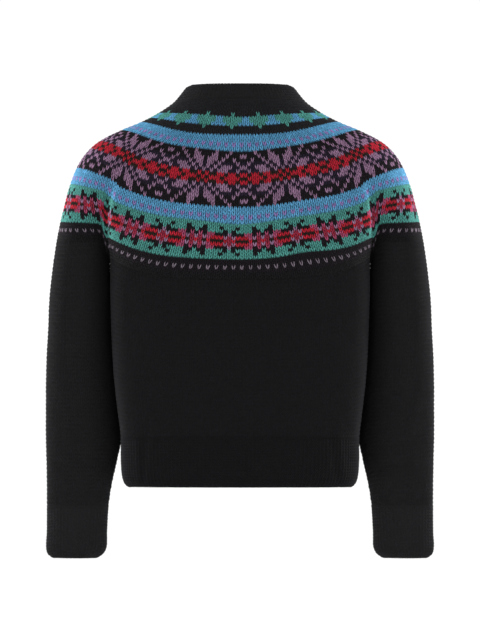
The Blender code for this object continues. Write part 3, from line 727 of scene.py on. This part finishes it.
# Soft creases, like the body's
SLEEVE_CREASES = {
    "left": (
        (196, -372, 236, -392, 7.5, 1.6, 1),
        (188, -412, 224, -424, 7, 1.3, 1),
        (240, -260, 252, -360, 10, 1.2, 1),
        (198, -500, 236, -488, 8, 1.3, 1),
        (250, -440, 254, -540, 9, -0.9, 1),
        (200, -360, 250, -384, 8, 1.7, -1),
        (204, -404, 246, -420, 7.5, 1.5, -1),
        (206, -520, 250, -508, 8, 1.2, -1),
    ),
    "right": (
        (-194, -384, -228, -396, 7.5, 1.4, 1),
        (-190, -428, -230, -446, 8, 1.5, 1),
        (-236, -270, -246, -380, 11, 1.2, 1),
        (-200, -508, -240, -500, 8, 1.2, 1),
        (-252, -420, -250, -520, 9, -0.9, 1),
        (-200, -372, -252, -392, 8, 1.6, -1),
        (-202, -430, -240, -440, 7.5, 1.3, -1),
    ),
}


def sleeve_rings():
    """Closed rings of the left sleeve, from one of the yoke down to the cuff's edge."""
    numbers = station_numbers(("crease arm side", "arm"))
    angles = [0.0]
    for i in numbers:
        kind, angle = STATIONS[i][:2]
        angles.append(UNDERARM_ANGLES[angle][1] if kind.startswith("crease") else angle)
    rings = foot_rings(numbers, 0, underarm_middle(1))
    foot = rings[1]
    first = SLEEVE_SECTIONS[0]
    for row in range(1, BLEND_ROWS + 1):
        share = row / (BLEND_ROWS + 1)
        z = foot[:, 2] + (first[0] - foot[:, 2]) * share
        level = np.array([arm_point(a, *first[1:]) for a in angles])
        outward = (1 - np.cos(np.radians(angles)))[:, None] / 2
        eased = share + (sin(pi / 2 * share) - share) * outward
        flat = foot[:, :2] + (level - foot[:, :2]) * eased
        rings.append(np.column_stack([flat, z]))
    for section in SLEEVE_SECTIONS:
        rings.append(np.array([(*arm_point(a, *section[1:]), section[0]) for a in angles]))
    return np.array(rings)


def straight_columns(rows, width):
    """Cells of even width, in columns from the middle of the outside. Those that pass
    the shaping line, where a row begins and ends, are left out."""
    walks = [walked(row) for row in rows]
    reach = int(max(along[-1] for along in walks) / 2 / width)
    steps = np.arange(-reach - 1, reach + 2) * width
    made, wide = [], []
    for row, along in zip(rows, walks):
        wanted = np.clip(along[-1] / 2 + steps, 0, along[-1])
        made.append(picked(row, wanted, along))
        wide.append(np.diff(wanted))
    wide = np.array(wide)
    kept = np.minimum(wide[:-1], wide[1:]) > NARROWEST_STITCH * width
    return cells(np.array(made))[kept.ravel()]


# The sleeves' black wool is painted lighter than the body's, to stand in for the light on them.
sleeve_wool_painted_lighter = wool("sleeve wool painted lighter", DARK_FUZZ, WOOL_SLEEVE_PAINTED_LIGHTER)
left_sleeve = surface_through(sleeve_rings(), [1] * len(sleeve_rings()[0]))
turned = np.roll(left_sleeve[:, ::-1] * (-1, 1, 1, -1, 1, 1), 1, axis=1)
sleeves = {"left": left_sleeve, "right": turned}
cuff_row = (BLEND_ROWS + 1 + CUFF_SECTION) * FINE_DOWN
for side in sleeves:
    sleeves[side] = creased(sleeves[side], SLEEVE_CREASES[side])[FINE_DOWN:]
    name = "sleeve_" + side
    tube = evenly_down(sleeves[side][: cuff_row + 1], SLEEVE_ROWS)
    tube = np.concatenate([tube, tube[:, :1]], axis=1)
    grid = evenly_round(tube, SLEEVE_CLOTH_STITCHES)
    cloth = cloth_layer(name + "_cloth", grid[:, :-1], sleeve_wool_painted_lighter, closed=True)
    columns = straight_columns(tube, SLEEVE_STITCH)
    face = stitches(name + "_stitches", [worked(columns, v_stitch)], sleeve_wool_painted_lighter)
    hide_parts(name)

# Cuffs: one and one rib like the hem, knitted down from each sleeve and cast off. Their
# black wool is painted a little paler, as the neckband's is, for the light they catch.
CUFF_ROWS = 18
CUFF_RIBS = 44
# Painted light: the cuffs' and neckband's black wool, made paler for the light they catch.
WOOL_PAINTED_LIGHTER = (0.0086, 0.0086, 0.0094, 1.0)
LIGHTER_WOOL_SHEEN = 0.08

painted_lighter_wool = wool("black wool painted lighter", DARK_FUZZ, WOOL_PAINTED_LIGHTER, LIGHTER_WOOL_SHEEN)
for side in sleeves:
    panel = sleeves[side][cuff_row:]
    cloth, face = rib_band("cuff_" + side, panel, CUFF_ROWS, CUFF_RIBS, painted_lighter_wool, closed=True)
    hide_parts("cuff_" + side)

# Yoke: one round piece over both shoulders, knitted in bands of coloured wool on black,
# and parted at the front. Each band has its own number of stitches round and its own
# chart. The charts give half a repeat, from its middle column outwards, row by row.
YARNS = {
    "#": (0.0062, 0.0047, 0.0062),  # black
    "n": (0.0048, 0.0042, 0.0051),  # black next to the body's
    "w": (0.0086, 0.0088, 0.0102),  # the same black, painted paler for the light it catches near the neck
    "a": (0.012, 0.008, 0.017),  # dark aubergine
    "o": (0.013, 0.008, 0.006),  # dark olive brown
    "b": (0.068, 0.221, 0.370),  # sky blue
    "g": (0.050, 0.196, 0.172),  # sea green
    "m": (0.196, 0.112, 0.183),  # mauve
    "v": (0.174, 0.132, 0.308),  # violet dots on the blue
    "k": (0.127, 0.103, 0.127),  # greyish mauve
    "p": (0.243, 0.043, 0.093),  # pink
    "c": (0.196, 0.015, 0.035),  # crimson
    "r": (0.305, 0.010, 0.022),  # red
}
TOP_ROWS = ("wwww", "wwww", "wwww", "wwww", "gwww")
FIRST_BAND = ("gggb", "gggb", "ggbb", "gwww", "wwww", "wwww")
DOTTED_BLUE = ("bb", "bb", "vb", "bb")
STARS = (
    "###m###m###",
    "##mm##m###m",
    "#mmm#m##m##",
    "ammamaaaama",
    "amamammmaam",
    "mamammmaama",
    "oroorrorror",
    "rorrrorrrro",
)
CROSSES = (
    "ggggggggg",
    "gg#ggg#gg",
    "g#gggg##g",
    "m###pp#p#",
    "cmrrrpmcm",
    "crooorocr",
)
LAST_DOTS = ("##", "##", "k#", "##", "nn", "nn")
# from ring, to ring, stitches, stitches in a repeat, widening at centre back (at the
# start, at the end), middle of a repeat from centre back, chart
YOKE_BANDS = (
    ("neck seam", "first colour", 147, 7, (0.10, 0.12), 2, TOP_ROWS),
    ("first colour", "first blue", 147, 7, (0.12, 0.12), 2, FIRST_BAND),
    ("first blue", "stars begin", 182, 2, (0.12, 0.12), -1, DOTTED_BLUE),
    ("stars begin", "second blue", 210, 21, (0.09, 0.00), -12, STARS + STARS[-2::-1]),
    ("second blue", "crosses begin", 208, 2, (0.0, 0.0), -1, DOTTED_BLUE),
    ("crosses begin", "crosses end", 224, 16, (0.0, 0.0), 2, CROSSES + CROSSES[-2::-1]),
    ("crosses end", "yoke foot", 248, 2, (0.0, 0.0), -1, LAST_DOTS),
)
HALF_STEPS = [station[3] for station in STATIONS[:-1]]
BELOW_YOKE = 2  # the number of the first ring below the yoke's foot, in body and sleeve
UPPER_BANDS = 4  # their stitches are one mesh, and those of the rest another
YOKE_CLOTH_STITCHES = 312
PALE_FUZZ = (0.6, 0.6, 0.6, 1.0)
UNEVEN_SHADE = 0.07
CLOTH_PAINTED_SHADE = 0.30  # painted shade: the cloth is painted this much darker where it shows between the stitches
# How the bands stray from their rings: the middle of the back hangs lower by the first,
# and the right shoulder blade is drawn up by the second.
STRAY_MIDDLE = 0.045
STRAY_RIGHT = (-0.100, 0.042)
BAND_STRAYS = {
    "first colour": (0.0043, 0.0),
    "first blue": (0.0008, 0.0018),
    "stars begin": (0.0043, 0.0024),
    "second blue": (0.0040, 0.0036),
    "crosses begin": (0.0056, 0.0030),
    "crosses end": (0.0014, 0.0066),
}


def charted(count, repeat, middle, chart):
    """Yarn colours for each row and stitch of a band: (row, stitch, red green blue)."""
    away = np.arange(count) - count // 2 - middle
    away = np.minimum(away % repeat, -away % repeat)
    return np.array([[YARNS[row[k]] for k in away] for row in chart])


def paint(piece, colours, domain):
    """Yarn colours as an attribute, one for each point or face corner."""
    layer = piece.data.color_attributes.new(name="yarn", type="FLOAT_COLOR", domain=domain)
    full = np.concatenate([colours, np.ones((len(colours), 1))], axis=1)
    layer.data.foreach_set("color", full.ravel())


def strayed(surface, ring):
    """The line of a band's edge round the surface, near the ring that it starts from."""
    row = ring_rows[ring]
    line = surface[row]
    low, high = BAND_STRAYS.get(ring, (0.0, 0.0))
    middle, spread = STRAY_RIGHT
    drop = low * np.exp(-((line[:, 0] / STRAY_MIDDLE) ** 2))
    drop -= high * np.exp(-(((line[:, 0] - middle) / spread) ** 2))
    drop *= line[:, OUT_Y] > 0
    pace = np.linalg.norm(line[:, :3] - surface[row - 1, :, :3], axis=1)
    return row + drop / pace


def between(surface, start, end, rows):
    """Rows spaced evenly down each column of the surface, between two fractional rows."""
    made = []
    numbers = np.arange(len(surface))
    for c, (first, last) in enumerate(zip(start, end)):
        inner = numbers[(numbers > first) & (numbers < last)]
        spots = np.concatenate([[first], inner, [last]])
        column = picked(surface[:, c], spots, numbers)
        made.append(evenly_down(column[:, None], rows)[:, 0])
    return np.array(made).transpose(1, 0, 2)


def opened(surface, half_columns):
    """A closed surface cut at the front, from the right front edge round to the left."""
    count = surface.shape[1]
    first = half_columns + OPENING
    return surface[:, np.arange(first, count + half_columns + 1) % count]


def top_surface():
    """The neckband and yoke. A row of the body and sleeves below takes part, so that the
    cloth runs on smoothly."""
    rings = [mirrored(top_ring(ring)) for ring in TOP_RINGS]
    half_rings, underarm = body_rings()
    below = top_ring(TOP_RINGS[-1])
    below[station_numbers(BODY_KINDS)] = np.delete(half_rings[BELOW_YOKE], underarm, axis=0)
    below[station_numbers(("crease arm side", "arm"))] = sleeve_rings()[BELOW_YOKE][1:]
    for i in station_numbers(("crease",)):
        below[i] = (below[i - 1] + below[i + 1]) / 2
    rings.append(mirrored(below))
    whole_steps = HALF_STEPS + [OPENING_STEPS] + HALF_STEPS[::-1]
    return surface_through(np.array(rings), whole_steps)[:-FINE_DOWN]


coloured_wool = wool("coloured wool", PALE_FUZZ)
top = top_surface()
half_top = sum(HALF_STEPS) * FINE_ROUND
round_top = opened(top, half_top)
ring_rows = {ring[0]: i * FINE_DOWN for i, ring in enumerate(TOP_RINGS)}
stitch_layers, stitch_colours, cloth_rows, cell_colours = [], [], [], []
for start, end, count, repeat, spreads, middle, chart in YOKE_BANDS:
    colours = charted(count, repeat, middle, chart)
    band = between(round_top, strayed(round_top, start), strayed(round_top, end), len(chart))
    layer = worked(cells(evenly_round(band, count, spreads)), v_stitch)
    shade = 1 + chance.normal(0, UNEVEN_SHADE, (len(layer[0]), 1))
    stitch_layers.append(layer)
    stitch_colours.append(np.repeat(colours.reshape(-1, 3) * shade, layer[0].shape[1], axis=0))
    cloth_rows.append(evenly_round(band, YOKE_CLOTH_STITCHES)[:-1])
    places = np.linspace(-1, 1, YOKE_CLOTH_STITCHES + 1)
    edges = np.linspace(-1, 1, count + 1)
    for row, spread in zip(colours, np.linspace(*spreads, len(chart))):
        under = np.searchsorted(widened(edges, spread), places[1:-1]) - 1
        under = np.concatenate([[0], under, [count - 1]])
        # Painted shade: the cloth takes the darker colour of the stitches over it, made darker
        # still.
        cell_colours.append(np.minimum(row[under[:-1]], row[under[1:]]) * CLOTH_PAINTED_SHADE)
cloth_rows.append(evenly_round(band[-1:], YOKE_CLOTH_STITCHES))
for name, part in (("upper", slice(0, UPPER_BANDS)), ("lower", slice(UPPER_BANDS, None))):
    face = stitches(f"yoke_{name}_stitches", stitch_layers[part], coloured_wool)
    paint(face, np.concatenate(stitch_colours[part]), "POINT")
grid = np.concatenate(cloth_rows)
cloth = cloth_layer("yoke_cloth", grid, coloured_wool)
cell_colours = np.array(cell_colours)
both_faces = [cell_colours.reshape(-1, 3)] * 2
rims = [cell_colours[0], cell_colours[-1], cell_colours[:, 0], cell_colours[:, -1]]
paint(cloth, np.repeat(np.concatenate(both_faces + rims), 4, axis=0), "CORNER")
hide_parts("yoke")

# Neckband: a low stand of one and one rib in black wool, knitted up from the yoke's top
# and cast off, with its two ends at the front opening.
NECK_ROWS = 8
NECK_RIBS = 96
neck = round_top[: ring_rows["neck seam"] + 1]
# Its black wool is painted paler, like the cuffs', for the light it catches.
cloth, face = rib_band("neckband", neck, NECK_ROWS, NECK_RIBS, painted_lighter_wool, edge=-1)
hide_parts("neckband")

# Front bands: two strips of one and one rib in black wool, picked up along each front
# edge and knitted sideways, so the ribs lie across. The right one laps over the left.
WALL = 0.0024
BAND_ROWS = 6
BAND_RIBS = 90


def lifted(surface, height):
    """The surface, moved outwards by the height."""
    points = surface[..., :3] + surface[..., 3:] * height
    return np.concatenate([points, surface[..., 3:]], axis=2)


strip = np.concatenate(
    [
        top[:, half_top : half_top + OPENING + 1],
        body[1:, half_body : half_body + OPENING + 1],
    ]
)
across = strip[:, ::-1].transpose(1, 0, 2)
over_height = (SEAM_GAP - WALL) / 2 + WALL
under_height = (SEAM_GAP - WALL) / 2 - SEAM_GAP
for name, height in (("buttonhole_band", over_height), ("button_band", under_height)):
    cloth, face = rib_band(name, lifted(across, height), BAND_ROWS, BAND_RIBS, black_wool)
    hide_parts(name)

# Buttons: seven sew-through buttons of polished black horn, turned with a rounded rim
# and a dished middle, each sewn on with four passes of black thread.
BUTTON_RADIUS = 0.009
BUTTON_THICKNESS = 0.0034
RIM = 0.0018
DISH = 0.0009
HOLE_RADIUS = 0.00095
HOLE_OFFSET = 0.0021
BUTTON_COUNT = 7
THREAD_RADIUS = 0.00042
THREAD_APART = 0.000357  # from the middle of a pair of passes
THREAD_SHAPE = (THREAD_RADIUS, 1.35 * HOLE_OFFSET, 1.5 * THREAD_RADIUS)
FOOT_DISH = 0.0001
RIM_ROUND = 0.00035
LEVEL = 0.9  # how far up or down a level face's direction goes
SHARP_EDGE = 40  # degrees, from which an edge is rounded off
SMOOTH_EDGE = 35  # degrees, up to which the faces beside an edge are shaded as one
HORN_FINISH = {"Roughness": 0.32, "Specular IOR Level": 0.3}
HORN_NODES = (
    ("place", "TexCoord", {}, {}),
    ("stretch", "Mapping", {"Scale": (90, 90, 420)}, {"Vector": "place Object"}),
    ("streaks", "TexNoise", {"Scale": 1.0, "Detail": 4}, {"Vector": "stretch Vector"}),
    ("colours", "ValToRGB", {}, {"Fac": "streaks Fac"}),
    ("Principled BSDF", "Shader", {}, {"Base Color": "colours Color"}),
)
HORN_COLOURS = ((0.42, (0.006, 0.005, 0.005, 1)), (0.78, (0.050, 0.034, 0.024, 1)))


def horn():
    """Dark horn with a few paler streaks, polished."""
    made = material("button horn", HORN_FINISH)
    wired(made.node_tree, HORN_NODES)
    ramp = made.node_tree.nodes["colours"].color_ramp
    for stop, (position, colour) in zip(ramp.elements, HORN_COLOURS):
        stop.position = position
        stop.color = colour
    return made


def pick_faces(mesh, wanted):
    """Select only the faces that wanted() says, for the next operator."""
    bpy.ops.object.mode_set(mode="OBJECT")
    for part in (mesh.vertices, mesh.edges, mesh.polygons):
        part.foreach_set("select", np.zeros(len(part), bool))
    for polygon in mesh.polygons:
        polygon.select = bool(wanted(polygon))
    bpy.ops.object.mode_set(mode="EDIT")


def turned_button(name):
    """One button, its foot at the origin and its face up."""
    bpy.ops.object.select_all(action="DESELECT")
    bpy.ops.mesh.primitive_cylinder_add(
        vertices=48,
        radius=BUTTON_RADIUS,
        depth=BUTTON_THICKNESS,
        location=(0, 0, BUTTON_THICKNESS / 2),
    )
    button = bpy.context.object
    button.name = name
    bpy.ops.object.transform_apply()
    bpy.ops.object.mode_set(mode="EDIT")
    bpy.ops.mesh.select_mode(type="FACE")
    pick_faces(button.data, lambda face: face.normal.z > LEVEL)
    bpy.ops.mesh.inset(thickness=RIM)
    bpy.ops.mesh.inset(thickness=RIM / 2)
    bpy.ops.transform.translate(value=(0, 0, -DISH))
    pick_faces(button.data, lambda face: face.normal.z < -LEVEL)
    bpy.ops.mesh.inset(thickness=RIM)
    bpy.ops.transform.translate(value=(0, 0, -FOOT_DISH))
    bpy.ops.object.mode_set(mode="OBJECT")
    for across, along in ((1, 1), (1, -1), (-1, 1), (-1, -1)):
        bpy.ops.mesh.primitive_cylinder_add(
            vertices=20,
            radius=HOLE_RADIUS,
            depth=4 * BUTTON_THICKNESS,
            location=(across * HOLE_OFFSET, along * HOLE_OFFSET, 0),
        )
        drill = bpy.context.object
        cut = button.modifiers.new("sewing hole", "BOOLEAN")
        cut.object = drill
        cut.solver = "EXACT"
        bpy.context.view_layer.objects.active = button
        bpy.ops.object.modifier_apply(modifier=cut.name)
        bpy.data.objects.remove(drill, do_unlink=True)
    soften = button.modifiers.new("rounded rim", "BEVEL")
    soften.width = RIM_ROUND
    soften.segments = 3
    soften.limit_method = "ANGLE"
    soften.angle_limit = radians(SHARP_EDGE)
    bpy.ops.object.modifier_apply(modifier=soften.name)
    bpy.ops.object.select_all(action="DESELECT")
    button.select_set(True)
    bpy.ops.object.shade_smooth_by_angle(angle=radians(SMOOTH_EDGE))
    return button


def thread_passes(name):
    """Four passes of thread, two over each pair of holes, humped as they are pulled."""
    bpy.ops.object.select_all(action="DESELECT")
    passes = []
    for pair in (-HOLE_OFFSET, HOLE_OFFSET):
        for beside in (-THREAD_APART, THREAD_APART):
            place = (pair + beside, 0, BUTTON_THICKNESS - DISH)
            bpy.ops.mesh.primitive_uv_sphere_add(
                segments=10, ring_count=12, radius=1, location=place, scale=THREAD_SHAPE
            )
            passes.append(bpy.context.object)
    for one in passes:
        one.select_set(True)
    bpy.ops.object.join()
    sewn = bpy.context.object
    sewn.name = name
    bpy.ops.object.transform_apply()
    bpy.ops.object.shade_smooth()
    return sewn


button_horn = horn()
centre = lifted(strip, over_height + RIB_RISE)[:, OPENING // 2]
for number in range(1, BUTTON_COUNT + 1):
    low, high = (np.array(corner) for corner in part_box(f"button_{number}"))
    middle = (low + high) / 2
    nearest = centre[np.argmin(np.linalg.norm(centre[:, :3] - middle, axis=1))]
    out = nearest[3:] / np.linalg.norm(nearest[3:])
    foot = middle - out * BUTTON_THICKNESS / 2
    for piece in (turned_button(f"horn_button_{number}"), thread_passes(f"button_thread_{number}")):
        piece.rotation_mode = "QUATERNION"
        piece.rotation_quaternion = Vector(out).to_track_quat("Z", "Y")
        piece.location = foot
        bpy.ops.object.select_all(action="DESELECT")
        piece.select_set(True)
        bpy.context.view_layer.objects.active = piece
        bpy.ops.object.transform_apply()
        piece.data.materials.clear()
        piece.data.materials.append(button_horn if "horn" in piece.name else black_wool)
        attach(piece, "root")
        if "horn" in piece.name:
            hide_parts(f"button_{number}")

# Floor, lights and camera: a pale floor far below, an even white sky, softboxes at both
# sides, above and in front, and a small low light beside each cuff. The camera is level
# behind the cardigan, as in the photograph.
FLOOR_Z = -0.80
FLOOR_FINISH = {"Base Color": (0.97, 0.97, 0.97, 1), "Roughness": 0.9}
SKY = {"Color": (1, 1, 1, 1), "Strength": 1.05}
# name, place, size, power
LIGHTS = (
    ("left softbox", (2.4, -0.7, -0.1), 1.2, 80),
    ("right softbox", (-2.4, -0.7, -0.1), 1.2, 80),
    ("left low light", (0.62, 0.55, -0.7), 0.3, 1.2),
    ("right low light", (-0.62, 0.55, -0.7), 0.3, 1.2),
    ("top softbox", (0.0, 1.6, 2.6), 1.5, 45),
    ("front fill", (0.6, -2.6, 0.8), 1.5, 30),
)
VIEW_Z = -0.297
VIEW_DISTANCE = 25.0
VIEW_HEIGHT = 0.915  # of the picture, at the cardigan
SENSOR = 36

bpy.ops.object.select_all(action="DESELECT")
bpy.ops.mesh.primitive_plane_add(size=400, location=(0, 0, FLOOR_Z))
floor = bpy.context.object
floor.name = "floor"
floor.data.materials.append(material("floor", FLOOR_FINISH))
bpy.ops.object.transform_apply()

world = bpy.context.scene.world or bpy.data.worlds.new("studio")
bpy.context.scene.world = world
world.use_nodes = True
tune(world.node_tree.nodes["Background"], SKY)

for name, place, size, power in LIGHTS:
    light = bpy.data.lights.new(name, "AREA")
    light.size = size
    light.energy = power
    lamp = in_scene(name, light)
    lamp.location = place
    aim = Vector((0, 0, VIEW_Z)) - Vector(place)
    lamp.rotation_euler = aim.to_track_quat("-Z", "Y").to_euler()

camera = bpy.data.cameras.new("camera")
camera.sensor_width = SENSOR
camera.lens = SENSOR * VIEW_DISTANCE / VIEW_HEIGHT
viewer = in_scene("camera", camera)
viewer.location = (0, VIEW_DISTANCE, VIEW_Z)
viewer.rotation_euler = (pi / 2, 0, pi)
bpy.context.scene.camera = viewer
bpy.context.scene.view_settings.view_transform = "Standard"
